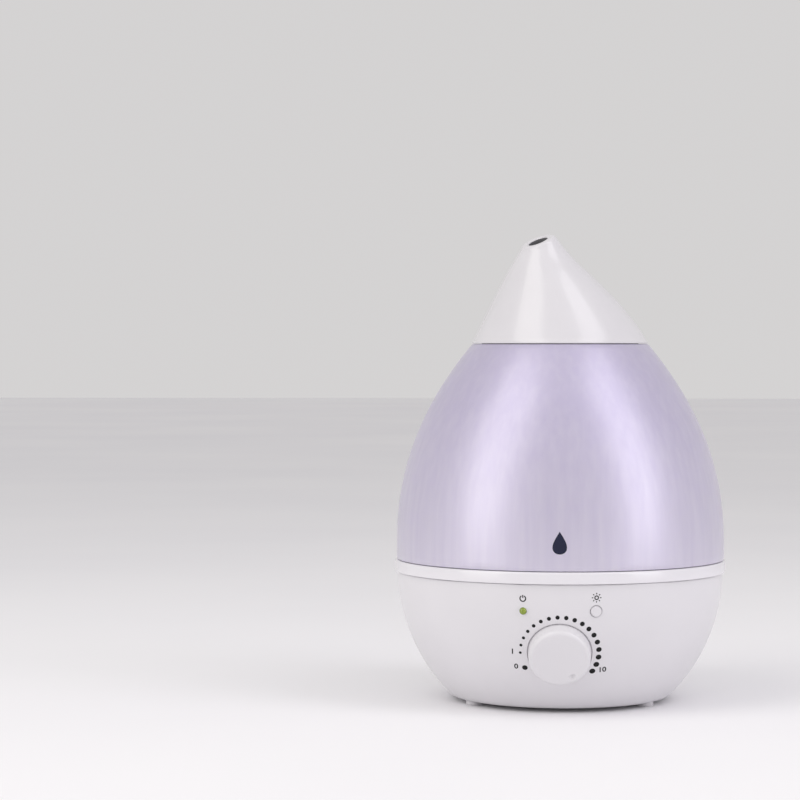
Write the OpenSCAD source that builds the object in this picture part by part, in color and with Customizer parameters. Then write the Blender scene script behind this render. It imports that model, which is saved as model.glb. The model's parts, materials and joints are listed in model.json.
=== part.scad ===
// Teardrop cool mist humidifier: a round base with a control knob, a drop-shaped water tank that
// lifts off it, and an oblique cone lid that turns to aim the mist. Millimetres, +Z up, origin on
// the floor under the middle. The control panel faces -Y.

/* [Overall] */
// Radius of the rim ring, the widest part of the base
rim_r = 115; // [105:0.5:140]
// Height of the base, from the floor to the top of its rim
base_h = 98; // [95:0.5:122]
// Height of the tank's outer wall above the rim
tank_h = 149.5; // [110:0.5:190]
// Height of the nozzle's mouth above the lid's lower edge
lid_h = 71.2; // [55:0.1:90]

/* [Base] */
// Clearance under the base, which is the height of its feet
foot_h = 3; // [2:0.5:6]
// Radius of a rubber foot
foot_r = 6; // [4:0.5:6.5]
// Wall of the base shell
base_wall = 2.5; // [1.8:0.1:3]
// Height of the rim ring that shows above the seam
rim_h = 8; // [6:0.5:12]
// Width of the flat ledge that the tank stands on
ledge_w = 16; // [13:0.5:18]
// How far the shell is set in from the rim ring
rim_step = 1.8; // [0.8:0.1:3]
// Radius of the shell's flat underside
bottom_r = 75.5; // [74:0.5:85]
// Radius of the screwed cover in the underside
cover_r = 61.5; // [61:0.5:65]
// Thickness of the bottom cover
cover_t = 3; // [2.5:0.1:4]
// Depth of the water basin below the rim
basin_depth = 35.5; // [30:0.5:38]
// How much the basin narrows from its mouth to its floor
basin_taper = 9; // [5:0.5:14]

/* [Control panel] */
// Depth of the knob's centre below the seam
knob_drop = 47; // [40:0.5:50]
// Largest radius of the knob
knob_r = 20.9; // [14:0.1:25]
// Height of the knob's face above the panel
knob_h = 8.2; // [6:0.1:12]
// Depth of the lamp and the button below the seam
button_drop = 18; // [15:0.5:20]
// Sideways distance of the lamp and the button from the middle
button_x = 24; // [20:0.5:32]
// Radius of the light button
button_r = 3.75; // [2.5:0.05:5]
// Travel of the light button
button_travel = 0.8; // [0.3:0.1:1.2]
// Radius of the power lamp's lens
lamp_r = 2.5; // [1.5:0.05:3]
// Height of the cord inlet above the floor
inlet_z = 30; // [27:0.5:36]
// Radius of the hole for the mains cord
cord_r = 3.6; // [2.5:0.1:4.5]

/* [Tank] */
// How far the tank's wall is set in from the rim ring
tank_step = 1; // [0.4:0.1:2]
// Radius of the tank's top edge, where the lid begins
top_r = 61.3; // [58:0.1:80]
// Height of the widest, upright stretch of the tank's wall
upright_h = 10; // [4:0.5:20]
// Wall of the tank
tank_wall = 2.4; // [1.8:0.1:3]
// Inner radius of the mist chimney
chimney_r = 16; // [12:0.5:19]
// Inner radius of the mist dome over the transducer
dome_r = 35.5; // [35:0.5:36.5]
// Height of the mist dome above the tank's floor
dome_h = 14; // [10:0.5:25]
// Length of the dome's skirt below the tank's floor
dome_skirt = 12; // [4:0.5:16]
// Inner radius of the filling neck
neck_r = 17; // [12:0.5:17.5]
// Length of the filling neck below the tank's floor
neck_l = 13; // [12:0.5:15]
// Lift of the valve while the tank stands on its base
valve_lift = 3; // [1.5:0.1:4]

/* [Lid] */
// Radius of the lid where its curve ends and its tilted tip begins
tip_r = 24.8; // [20:0.1:32]
// Height of that place above the lid's lower edge
tip_h = 53; // [40:0.5:60]
// Sideways distance of the nozzle's mouth from the axis
nozzle_offset = 20; // [0:0.5:30]
// Tilt of the nozzle's mouth from level
nozzle_tilt = 26; // [0:1:40]
// Direction that the nozzle faces, counted from +X
nozzle_turn = 219; // [0:1:360]
// Radius of the nozzle's hole
nozzle_r = 6.8; // [4:0.1:8]
// Outer radius of the rounded lip round the nozzle
lip_r = 12.9; // [11:0.1:18]
// Wall of the lid
lid_wall = 2.2; // [1.6:0.1:3]

/* [Air and mist] */
// Inner radius of the air tower
tower_r = 7; // [5:0.5:7.5]
// Distance of the air tower behind the middle
tower_y = 26; // [25.5:0.5:26]
// Side of the square fan
fan_side = 40; // [36:0.5:42]
// Thickness of the fan
fan_t = 10; // [8:0.5:12]
// Radius of the ultrasonic disc
disc_r = 10; // [8:0.5:11]
// Outer radius of the float
float_r = 11; // [8:0.5:14]
// Travel of the float up its post
float_travel = 7; // [4:0.5:8]

/* [Hidden] */
$fn = 96;
eps = 0.01;           // overlap that keeps a cut from ending exactly on a face
run_gap = 0.3;        // gap between bodies that move past each other
fit_gap = 0.08;       // radial gap of a shaft in its bearing
skin = 2.5;           // thickness of plain moulded plates and ribs
white = "#f1f0f2";
grey = "#c9c9cd";
lavender = [0.82, 0.79, 0.92, 0.75];
dark = "#2b2b2e";
steel = "#b9bcc0";

// Heights of the base
seam_z = base_h - rim_h;                 // seam between the shell and the rim ring
seam_gap = 0.4;                          // groove that shows as the seam
bowl_z = seam_z + 2;                     // level at which the bowl's curve is upright
shell_r = rim_r - rim_step;
bowl_b = (bowl_z - foot_h) / sqrt(1 - pow(bottom_r / shell_r, 2));
cover_z = foot_h + cover_t;              // top of the bottom cover, and underside of the shell's ledge
shelf_t = 2.5;                           // thickness of the shell's ledge over the cover
shelf_z = cover_z + shelf_t;
shelf_r = 48;                            // inner radius of that ledge
basin_floor = base_h - basin_depth;      // top of the basin's floor
basin_under = basin_floor - skin;        // underside of the basin's floor
mouth_r = rim_r - ledge_w;               // inner radius of the basin's mouth
floor_r = mouth_r - basin_taper;         // inner radius of the basin's floor
bowl_steps = 18;

// Outer radius of the base's bowl at height z, a quarter of an ellipse; t = base_wall gives the inner one
function bowl_at(z, t = 0) = (shell_r - t) * sqrt(1 - pow((bowl_z - z) / (bowl_b - 1.1 * t), 2));
// Slope of that outer curve at height z, as an angle from upright
function bowl_tilt(z) = atan(pow(shell_r / bowl_b, 2) * (bowl_z - z) / bowl_at(z));
// That outer curve from the underside to the seam, as [radius, height] points
bowl_curve = [
    for (i = [0:bowl_steps])
        let (z = foot_h + (seam_z - seam_gap - foot_h) * i / bowl_steps)
        [bowl_at(z), z]
];

// Cover screws and basin posts
post_ring = 56;
post_r = 4;
post_angles = [for (i = [0:3]) 45 + 90 * i];
screw_r = 1.4;
screw_head_r = 2.8;
screw_head_h = 1.6;
screw_sink = 1.7;                        // depth of the recess for a screw's head
screw_l = 15;

// Control panel
knob_z = seam_z - knob_drop;
knob_tilt = bowl_tilt(knob_z);
panel_z = seam_z - button_drop;
panel_r = bowl_at(panel_z);
panel_tilt = bowl_tilt(panel_z);
side_turn = asin(button_x / panel_r);
pocket_r = knob_r + 0.7;                 // flat-bottomed recess that the knob sits in
pocket_d = pow(pocket_r, 2) / (2 * bowl_at(knob_z)) + 0.8;
boss_d = pocket_d + base_wall;           // back of the thick part behind that recess
flange_d = base_wall + 0.5;              // depth of the button's flange behind the panel
stem_top = flange_d + 1;
lamp_d = base_wall + 4.7;                // depths of the faces of the lamp's and the switch's boards
switch_d = stem_top + 5.2;
peg_x = 8;                               // pegs that those boards are fixed to
peg_r = 1.6;
shaft_r = 3;
bush_r = 3.5;                            // threaded bush of the potentiometer
pot_r = 8;
pot_t = 8;
board_t = 1.6;
inlet_r = 11;                            // recess at the rear that the mains cord leaves from
inlet_floor = bowl_at(inlet_z - inlet_r) - 3;   // flat bottom of that recess
gland_r = 5.4;                           // grommet in it
gland_lip = 7;

// Tank
tank_r = rim_r - tank_step;
tank_z = base_h + run_gap;               // lower edge of the tank
tank_top = tank_z + tank_h;
widest_z = tank_z + upright_h;
tank_power = 2.2;                        // how the wall's inward curve grows with height
floor_top = tank_z + 2.7;                // top of the tank's floor
skirt_r = mouth_r - 1;                   // locating skirt under the tank, inside the basin's mouth
skirt_h = 9;
dome_top = tank_z + dome_h;
cap_x = (dome_r + tank_wall + skirt_r - tank_wall) / 2;   // the filling neck is midway between dome and skirt
neck_wall = 2;
neck_end = tank_z - neck_l;
gasket_t = 1.5;
cap_floor_t = 3;
cap_top = neck_end - gasket_t;           // inside face of the cap's floor
cap_z = cap_top - cap_floor_t;           // underside of the cap
cap_skirt = 14;                          // height of the cap from its underside
lug_r = neck_r + neck_wall + 1.6;
lug_h = 2;
lug_z = neck_end + 2.7;
cap_bore = neck_r + neck_wall + 0.4;
cap_r = cap_bore + 3;
cap_turn = 60;                           // turn that frees the bayonet
seat_r = 6;                              // water hole in the cap
stem_r = 2.2;
seal_t = 1.5;
seal_z = cap_top + valve_lift;           // underside of the valve's rubber, lifted
flange_z = seal_z + seal_t;
cage_top = cap_top + 13;
stem_end = cap_z + 1.2;                  // lower end of the lifted stem
lip_recess = 2.4;                        // depth of the recess in the tank's top
top_plate = tank_top - lip_recess;
chimney_wall = 2.2;

// Outer radius of the tank's wall at height z
function tank_at(z) =
    tank_r - (tank_r - top_r) * pow(max(0, z - widest_z) / (tank_top - widest_z), tank_power);
// Outer wall as [radius, height] points, set in by t
function tank_curve(t, z0, z1, n = 22) = [
    for (i = [0:n])
        let (z = z0 + (z1 - z0) * i / n,
             slope = (tank_at(z + 0.5) - tank_at(z - 0.5)))
        [tank_at(z) - t * sqrt(1 + slope * slope), z]
];

// Mist guide and lid
guide_r = top_r - 5;
guide_t = 2;
guide_top = top_plate + guide_t;
collar_r = guide_r - 4;
collar_h = 7;
lid_z = tank_top + seam_gap;
nozzle_z = lid_z + lid_h;
lid_curve = 0.25;                        // share of the lid's taper that grows with height
lean_power = 1.65;                       // how the lid's lean grows with height

// Float, level sensor and night light on the basin's floor
service_ring = (dome_r + floor_r) / 2;
float_turn = 205;
light_turn = 160;
float_post_r = 3;
float_h = 10;
float_z = basin_floor + 1.5;
float_stop = float_z + float_h + float_travel + run_gap;
post_hole = 1.8;                         // hole of the level sensor in the float's post
window_r = 8;
window_seat = 6.4;                       // height of the holder under the window

// Fan stack
fan_z = 30;
fan_top = fan_z + fan_t;
fan_bore = fan_side / 2 - 1.2;
fan_hole = fan_side * 0.4;               // screw holes of a square fan
fan_post_r = 3;
hub_r = 9;
tower_wall = 1.5;
tower_h = 29.5;

// Bottom cover's air slots, in an even number so that a bar lies under the middle of the fan
vent_slots = 8;
slot_l = 25;
slot_w = 2.6;
slot_pitch = 4.6;
// Posts on the cover under the two boards
board_z = 14;
board_x = 43;
board_posts = [[31, -16], [31, 16], [43, 0]];
board_post_r = 2.5;

module at_turn(turn, r, z = 0) rotate([0, 0, turn]) translate([r, 0, z]) children();
module at_cap(z = 0) translate([cap_x, 0, z]) children();
module at_tower(z = 0) translate([0, tower_y, z]) children();
module at_service(turn, z) at_turn(turn, service_ring, z) children();
module at_posts(z) for (a = post_angles) at_turn(a, post_ring, z) children();
module at_fan_corners(z) for (x = [-1, 1], y = [-1, 1]) at_tower(z)
    translate([x * fan_hole, y * fan_hole, 0]) children();
// The panel's own frame at height z: +Z points out of the panel and +Y up it
module on_panel(z, turn = 0)
    rotate([0, 0, turn]) translate([0, -bowl_at(z), z]) rotate([90 + bowl_tilt(z), 0, 0]) children();
module on_knob() on_panel(knob_z) children();
module on_lamp() on_panel(panel_z, -side_turn) children();
module on_button() on_panel(panel_z, side_turn) children();
module on_inlet(y) translate([0, y, inlet_z]) rotate([-90, 0, 0]) children();
module tube(ro, ri, h) difference() {
    cylinder(r = ro, h = h);
    translate([0, 0, -1]) cylinder(r = ri, h = h + 2);
}
module screw(shank_r, shank_l, head_r, head_h) union() {
    translate([0, 0, -head_h]) cylinder(r = head_r, h = head_h, $fn = 32);
    cylinder(r = shank_r, h = shank_l, $fn = 32);
}
module board(x, y, t = board_t) translate([-x / 2, -y / 2, 0]) cube([x, y, t]);

// ---------- Base ----------

// Solid bowl bounded by the base's outer surface
module bowl_solid() rotate_extrude()
    polygon(concat([[0, foot_h]], bowl_curve, [[0, seam_z - seam_gap]]));

module base_shell() color(white) difference() {
    union() {
        rotate_extrude() polygon(concat(
            [[cover_r + run_gap, foot_h]],
            bowl_curve,
            // tongue that locates the rim ring
            [[shell_r - 1.2, seam_z - seam_gap], [shell_r - 1.2, seam_z + 3], [shell_r - 3.6, seam_z + 3]],
            [for (i = [bowl_steps:-1:0])
                let (z = shelf_z + (seam_z - 3 - shelf_z) * i / bowl_steps) [bowl_at(z, base_wall), z]],
            [[shelf_r, shelf_z], [shelf_r, cover_z], [cover_r + run_gap, cover_z]]
        ));
        intersection() {
            bowl_solid();
            union() {
                on_knob() translate([0, 0, -boss_d]) cylinder(r = pocket_r + 2.5, h = boss_d + 2);
                on_inlet(inlet_floor - skin) cylinder(r = inlet_r + 2, h = 30);
                for (x = [-peg_x, peg_x]) {
                    on_lamp() translate([x, 0, -lamp_d]) cylinder(r = peg_r, h = lamp_d);
                    on_button() translate([x, 0, -switch_d]) cylinder(r = peg_r, h = switch_d);
                }
            }
        }
    }
    on_knob() translate([0, 0, -pocket_d]) cylinder(r = pocket_r, h = 20);
    on_knob() translate([0, 0, -boss_d - 5]) cylinder(r = bush_r + 0.2, h = 20);
    on_lamp() translate([0, 0, -8]) cylinder(r = lamp_r + 0.1, h = 16);
    on_button() translate([0, 0, -8]) cylinder(r = button_r + run_gap, h = 16);
    on_inlet(inlet_floor) cylinder(r = inlet_r, h = 40);
    on_inlet(inlet_floor - 10) cylinder(r = gland_r + 0.1, h = 20);
    at_posts(cover_z - 1) cylinder(r = screw_r + 0.2, h = shelf_t + 2.5, $fn = 32);
}

module bottom_cover() color(white) difference() {
    union() {
        translate([0, 0, foot_h]) cylinder(r = cover_r, h = cover_t);
        at_fan_corners(cover_z - eps) cylinder(r = fan_post_r, h = fan_z - cover_z + eps);
        for (s = [-1, 1], p = board_posts) translate([s * p[0], p[1], cover_z - eps])
            cylinder(r = board_post_r, h = board_z - cover_z + eps);
    }
    for (i = [0:vent_slots - 1]) at_tower(foot_h - 1)
        translate([-slot_l / 2, (i - (vent_slots - 1) / 2) * slot_pitch - slot_w / 2, 0])
            cube([slot_l, slot_w, cover_t + 2]);
    at_posts(foot_h - 1) cylinder(r = screw_head_r + 0.3, h = screw_sink + 1, $fn = 32);
    at_posts(foot_h - 1) cylinder(r = screw_r + 0.2, h = cover_t + 2, $fn = 32);
    at_fan_corners(fan_z - 12) cylinder(r = 1.2, h = 13, $fn = 24);
}

foot_turns = [-58, 58, -122, 122];       // counted from the front
module rubber_feet() color(grey)
    for (a = foot_turns) at_turn(a - 90, bottom_r - foot_r - 1) rotate_extrude($fn = 48)
        polygon([[0, 0], [foot_r - 0.6, 0], [foot_r, 0.6], [foot_r, foot_h], [0, foot_h]]);

module cover_screws() color(steel)
    at_posts(foot_h + screw_sink) screw(screw_r, screw_l, screw_head_r, screw_head_h);

ring_in = disc_r + 3;                    // seat of the transducer's seal under the floor
ring_out = disc_r + 6.5;
ring_d = 4.5;
guard_r = ring_out - 0.5;                // low guard round the transducer
valve_post_r = 3.5;                      // post that opens the tank's valve
mouth_end = tank_z - skirt_h - 1.2;      // lower end of the mouth's upright wall
module water_basin() color(white) difference() {
    union() {
        rotate_extrude() polygon([
            [rim_r - 2.4, seam_z], [rim_r, seam_z], [rim_r, base_h - 1.6], [rim_r - 0.5, base_h - 0.5],
            [rim_r - 1.6, base_h],
            [mouth_r + 0.8, base_h], [mouth_r, base_h - 0.8], [mouth_r, mouth_end],
            [floor_r + 3, basin_floor + 4], [floor_r, basin_floor], [0, basin_floor],
            [0, basin_under], [floor_r + 1, basin_under], [floor_r + 3 + skin, basin_floor + 3],
            [mouth_r + skin, mouth_end - 1], [mouth_r + skin, base_h - skin], [rim_r - 2.4, base_h - skin]
        ]);
        translate([0, 0, basin_under - ring_d]) cylinder(r = ring_out, h = ring_d + eps);
        translate([0, 0, basin_floor - eps]) cylinder(r = guard_r, h = 9);
        at_tower(basin_floor - eps) cylinder(r = tower_r + tower_wall, h = tower_h);
        at_service(float_turn, basin_floor - eps)
            cylinder(r = float_post_r, h = float_stop + 2 - basin_floor);
        at_cap(basin_floor - eps) cylinder(r = valve_post_r, h = stem_end - 0.2 - basin_floor);
        at_service(light_turn, basin_under - window_seat) cylinder(r = window_r + 2.5, h = window_seat + eps);
        at_posts(shelf_z) cylinder(r = post_r, h = basin_under - shelf_z + eps);
    }
    translate([0, 0, basin_under - ring_d - 1]) cylinder(r = ring_in, h = ring_d + 1);
    translate([0, 0, basin_under - 1]) cylinder(r = disc_r - 1, h = skin + 2);
    translate([0, 0, basin_floor]) cylinder(r = guard_r - 1.7, h = 10);
    for (i = [0:2]) rotate([0, 0, 60 + 120 * i]) translate([0, -2, basin_floor]) cube([30, 4, 4]);
    at_tower(basin_under - 1) cylinder(r = tower_r, h = tower_h + skin + 2);
    at_service(float_turn, basin_under - 1)
        cylinder(r = post_hole, h = float_stop - basin_under, $fn = 32);
    at_service(light_turn, basin_under - window_seat - 1) cylinder(r = window_r, h = window_seat + skin + 2);
    at_posts(shelf_z - 1) cylinder(r = screw_r + 0.05, h = screw_l + 1, $fn = 32);
    at_ring_screws(basin_under - ring_d - 1) cylinder(r = 1.05, h = ring_d, $fn = 24);
}

// ---------- Mist maker ----------

module transducer_seal() color(dark) translate([0, 0, basin_under - ring_d]) rotate_extrude() polygon([
    [disc_r - 2, 0], [ring_in - 0.2, 0], [ring_in - 0.2, ring_d], [disc_r - 1.5, ring_d],
    [disc_r - 1.5, 3.2], [disc_r, 3.2], [disc_r, 2.2], [disc_r - 2, 2.2]
]);
module transducer_disc() color(steel)
    translate([0, 0, basin_under - ring_d + 2.2]) cylinder(r = disc_r, h = 1);
holder_t = 5;
module at_ring_screws(z) for (i = [0:2]) at_turn(90 + 120 * i, (ring_in + ring_out) / 2, z) children();
module transducer_holder() color(steel) translate([0, 0, basin_under - ring_d - holder_t]) difference() {
    cylinder(r = ring_out, h = holder_t);
    translate([0, 0, -1]) cylinder(r = disc_r - 4, h = holder_t + 2);
    at_ring_screws(-1) cylinder(r = 1.2, h = holder_t + 2, $fn = 24);
}
module holder_screws() color(steel)
    at_ring_screws(basin_under - ring_d - holder_t) screw(1, holder_t + 3, 1.7, 1.2);

module duct_hood() color(white) at_tower(basin_floor + tower_h - eps) difference() {
    union() {
        for (a = [30, 150, 270]) at_turn(a, tower_r + tower_wall / 2 - 0.1)
            cylinder(r = 0.7, h = 4, $fn = 24);
        translate([0, 0, 3.2]) cylinder(r = tower_r + tower_wall + 0.4, h = 1.6);
    }
    translate([0, 0, -1]) cylinder(r = 20, h = 1 + eps);
}

duct_plate = 2;                          // thickness of the plate on the fan
duct_l = basin_under - fan_top;
module air_duct() color(grey) difference() {
    at_tower(fan_top) union() {
        board(fan_side, fan_side, duct_plate);
        rotate_extrude() polygon([
            [0, 1], [fan_bore + 1, 1], [fan_bore + 1, duct_plate], [tower_r + tower_wall, 7.5],
            [tower_r + tower_wall, duct_l], [0, duct_l]
        ]);
    }
    at_tower(fan_top) rotate_extrude() polygon([
        [0, -1], [fan_bore - 0.5, -1], [fan_bore - 0.5, 0.6], [tower_r, 7], [tower_r, duct_l + 1],
        [0, duct_l + 1]
    ]);
    at_fan_corners(fan_top - 1) cylinder(r = 1.5, h = 8, $fn = 24);
}

axle_r = 1;                              // the fan's axle, and its bearing on the frame's spider
spider_t = 1.5;
module fan_frame() color(dark) union() {
    difference() {
        at_tower(fan_z) board(fan_side, fan_side, fan_t);
        at_tower(fan_z - 1) cylinder(r = fan_bore, h = fan_t + 2);
        at_fan_corners(fan_z - 1) cylinder(r = 1.5, h = fan_t + 2, $fn = 24);
    }
    at_tower(fan_z) difference() {
        union() {
            cylinder(r = hub_r, h = spider_t);
            for (a = [45, 135]) rotate([0, 0, a])
                translate([-fan_bore - 0.5, -1.2, 0]) cube([2 * fan_bore + 1, 2.4, spider_t]);
            cylinder(r = 2.6, h = 4);
        }
        translate([0, 0, 0.8]) cylinder(r = axle_r + fit_gap, h = 5);
    }
}
blades = 7;
module fan_rotor() color("#3a3a3e") at_tower(fan_z) union() {
    translate([0, 0, 1]) cylinder(r = axle_r, h = 6);
    translate([0, 0, 2]) difference() {
        cylinder(r = hub_r, h = fan_t - 3);
        translate([0, 0, -1]) cylinder(r = hub_r - 1.2, h = fan_t - 4);
    }
    for (i = [0:blades - 1]) rotate([0, 0, i * 360 / blades])
        translate([hub_r - 0.6, 0, fan_t / 2 + 0.6]) rotate([52, 0, 0]) translate([0, -3.4, -0.5])
            cube([fan_bore - hub_r - 0.4, 6.8, 1]);
}
module fan_screws() color(steel)
    at_fan_corners(fan_top + duct_plate) mirror([0, 0, 1]) screw(1.15, fan_t + 12, 2.4, 1.5);

// ---------- Basin fittings ----------

module float() color("#e9e6df") at_service(float_turn, float_z) rotate_extrude() polygon([
    [float_post_r + 0.5, 0], [float_r - 1, 0], [float_r, 1], [float_r, float_h - 1],
    [float_r - 1, float_h], [float_post_r + 0.5, float_h]
]);
module float_clip() color(white)
    at_service(float_turn, float_stop) tube(float_post_r + 2.5, float_post_r, 1.4);
module level_sensor() color(dark) at_service(float_turn, basin_under) union() {
    translate([0, 0, -4]) cylinder(r = 1.6, h = 22, $fn = 32);
    translate([0, 0, -1.5]) cylinder(r = 3.2, h = 1.5, $fn = 32);
}
window_rim = 1.2;
module light_window() color([0.95, 0.95, 1, 0.7]) at_service(light_turn, basin_under) union() {
    cylinder(r = window_r - 0.1, h = skin + eps);
    translate([0, 0, skin]) cylinder(r = window_r + 2, h = window_rim);
    translate([0, 0, skin + window_rim - eps]) intersection() {
        translate([0, 0, -7]) sphere(r = 10);
        cylinder(r = window_r, h = 5);
    }
}
module light_board() color("#2f7d4f") at_service(light_turn, basin_under - window_seat - board_t) union() {
    cylinder(r = window_r + 2.5, h = board_t);
    for (i = [0:2]) at_turn(120 * i, 3.6, board_t - eps) board(3, 3, 1.4);
}

// ---------- Electronics ----------

module power_board() color("#2f7d4f") translate([-board_x, 0, board_z]) board(36, 42);
module driver_board() color("#2f7d4f") translate([board_x, 0, board_z]) board(36, 42);
module power_transformer() color("#d8c35a") translate([-board_x - 2, -7, board_z + board_t]) union() {
    board(24, 20, 3);
    translate([0, 0, 3 - eps]) board(16, 18, 13);
    translate([0, 0, 5]) board(24, 12, 9);
}
module power_capacitors() color("#23324f") translate([-board_x, 0, board_z + board_t]) union() {
    translate([8, 13, 0]) cylinder(r = 5, h = 16, $fn = 48);
    translate([-6, 13, 0]) cylinder(r = 4, h = 12, $fn = 48);
}
fins = 5;
module heat_sink() color(steel) translate([board_x + 6, 0, board_z + board_t]) union() {
    board(14, 30, 2);
    for (i = [0:fins - 1]) translate([-6 + 12 * i / (fins - 1), 0, 2 - eps]) board(1.2, 30, 14);
}
module driver_coil() color("#b06a35") translate([board_x - 10, 8, board_z + board_t]) tube(6, 2.5, 8);

board_back = boss_d + pot_t;             // depth of the control board's face behind the panel
module control_board() color("#2f7d4f") on_knob() translate([-24, -20, -board_back - board_t]) difference() {
    cube([48, 26, board_t]);
    translate([24, 20, -1]) cylinder(r = 2, h = 4, $fn = 32);
}
module potentiometer() color(steel) on_knob() difference() {
    union() {
        translate([0, 0, -board_back]) cylinder(r = pot_r, h = pot_t);
        translate([0, 0, -boss_d - eps]) cylinder(r = bush_r, h = boss_d - pocket_d + 2.4);
    }
    translate([0, 0, -boss_d - 1.5]) cylinder(r = shaft_r + fit_gap, h = 20);
}
module pot_nut() color(steel) on_knob() translate([0, 0, -pocket_d]) difference() {
    cylinder(r = 5.6, h = 2, $fn = 6);
    translate([0, 0, -1]) cylinder(r = bush_r, h = 4);
}
knob_back = pocket_d - run_gap;          // depth of the knob's back edge below the panel
knob_face_t = 2.4;
knob_round = 2.6;                        // rounding of the knob's front edge
dimple_turn = -56;                       // direction of the finger dimple that shows the setting
module knob_shaft() color(steel) on_knob() translate([0, 0, -boss_d - 1.3])
    cylinder(r = shaft_r, h = boss_d + 1.3 + knob_h - knob_face_t);
module knob() color(white) on_knob() difference() {
    rotate_extrude() polygon(concat(
        [[knob_r - 2.6, -knob_back], [knob_r, -knob_back], [knob_r, -knob_back + 1.5]],
        [for (a = [0:15:90])
            knob_round * [cos(a), sin(a)] + [knob_r - 0.9 - knob_round, knob_h - knob_round]],
        [[0, knob_h], [0, knob_h - knob_face_t], [shaft_r + 0.05, knob_h - knob_face_t], [shaft_r + 0.05, 0],
         [shaft_r + 2.4, 0], [shaft_r + 2.4, knob_h - knob_face_t], [knob_r - 3.2, knob_h - knob_face_t]]
    ));
    at_turn(dimple_turn, knob_r - 5, knob_h + 1.6) sphere(r = 2.6, $fn = 48);
}

module power_light() color("#8fae2a") on_lamp() union() {
    translate([0, 0, -lamp_d]) cylinder(r = lamp_r, h = lamp_d + 0.6, $fn = 48);
    translate([0, 0, -lamp_d]) cylinder(r = lamp_r + 0.4, h = 1, $fn = 48);
    translate([0, 0, 0.6]) intersection() {
        translate([0, 0, -0.8]) sphere(r = lamp_r + 0.13, $fn = 48);
        cylinder(r = lamp_r, h = 4, $fn = 48);
    }
}
module lamp_board() color("#2f7d4f") on_lamp() translate([0, 0, -lamp_d - board_t]) board(2 * peg_x + 5, 8);
module light_button() color(white) on_button() union() {
    translate([0, 0, -flange_d]) cylinder(r = button_r, h = flange_d + 0.5);
    translate([0, 0, 0.5 - eps]) cylinder(r1 = button_r, r2 = button_r - 0.4, h = 0.4);
    translate([0, 0, -flange_d - 1]) cylinder(r = button_r + 1.4, h = 1 + eps);
}
stem_l = 2.4;
plunger_r = 1.75;
module switch_stem() color(dark)
    on_button() translate([0, 0, -stem_top - stem_l]) cylinder(r = plunger_r, h = stem_l, $fn = 32);
module button_switch() color(dark) on_button() translate([0, 0, -switch_d]) difference() {
    board(6, 6, 3.6);
    translate([0, 0, 2.6 - button_travel - run_gap]) cylinder(r = plunger_r + 0.2, h = 5, $fn = 32);
}
module button_board() color("#2f7d4f")
    on_button() translate([0, 0, -switch_d - board_t]) board(2 * peg_x + 5, 10);

module cord_gland() color(dark) on_inlet(inlet_floor) difference() {
    union() {
        rotate_extrude()
            polygon([[0, 0], [gland_lip + 0.5, 0], [gland_lip + 0.5, 1.2], [gland_lip - 0.4, 2.4], [0, 2.4]]);
        translate([0, 0, -skin]) cylinder(r = gland_r, h = skin + eps);
        translate([0, 0, -skin - 2]) cylinder(r = gland_lip, h = 2);
    }
    translate([0, 0, -skin - 3]) cylinder(r = cord_r, h = 10);
}

// ---------- Tank ----------

module tank_shell() color(lavender) rotate_extrude() polygon(concat(
    [[tank_r - tank_wall, tank_z], [tank_r, tank_z]],
    tank_curve(0, widest_z, tank_top),
    [[guide_r + 0.6, tank_top], [guide_r + 0.6, top_plate], [chimney_r + chimney_wall, top_plate],
     [chimney_r + chimney_wall, top_plate - tank_wall]],
    [for (i = [22:-1:0]) tank_curve(tank_wall, widest_z, top_plate - tank_wall)[i]]
));

module tank_floor() color(lavender) union() {
    difference() {
        rotate_extrude() polygon([
            [skirt_r, tank_z], [tank_r - tank_wall, tank_z], [tank_r - tank_wall, floor_top],
            [dome_r + tank_wall, floor_top], [dome_r + tank_wall, dome_top], [chimney_r, dome_top],
            [chimney_r, dome_top - tank_wall], [dome_r, dome_top - tank_wall], [dome_r, tank_z - dome_skirt],
            [dome_r + tank_wall, tank_z - dome_skirt], [dome_r + tank_wall, tank_z],
            [skirt_r - tank_wall, tank_z], [skirt_r - tank_wall, tank_z - skirt_h],
            [skirt_r, tank_z - skirt_h]
        ]);
        at_cap(tank_z - 1) cylinder(r = neck_r, h = 6);
    }
    at_cap(neck_end) tube(neck_r + neck_wall, neck_r, neck_l + eps);
    for (i = [0:2]) at_cap(lug_z) rotate([0, 0, 120 * i - 12]) rotate_extrude(angle = 24)
        translate([neck_r + neck_wall - 0.3, 0]) square([1.9, lug_h]);
}

module mist_chimney() color(lavender) translate([0, 0, dome_top])
    tube(chimney_r + chimney_wall, chimney_r, top_plate - dome_top);

cap_ribs = 24;
module fill_cap() color(white) at_cap(cap_z) difference() {
    union() {
        cylinder(r = cap_r, h = cap_skirt);
        for (i = [0:cap_ribs - 1]) rotate([0, 0, 360 * i / cap_ribs])
            translate([cap_r - 0.6, -0.9, 0]) cube([1.2, 1.8, cap_skirt - 1.5]);
    }
    translate([0, 0, cap_floor_t]) cylinder(r = cap_bore, h = cap_skirt);
    translate([0, 0, -1]) cylinder(r = seat_r, h = cap_floor_t + 2);
    translate([0, 0, lug_z - cap_z - run_gap]) cylinder(r = lug_r + run_gap, h = lug_h + 2 * run_gap);
    for (i = [0:2]) rotate([0, 0, 120 * i - cap_turn - 14]) rotate_extrude(angle = 28)
        translate([cap_bore - 1, lug_z - cap_z]) square([lug_r + run_gap - cap_bore + 0.9, cap_skirt]);
}
module cap_gasket() color(grey) at_cap(cap_top) tube(neck_r + neck_wall, neck_r - 0.5, gasket_t);

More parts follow.
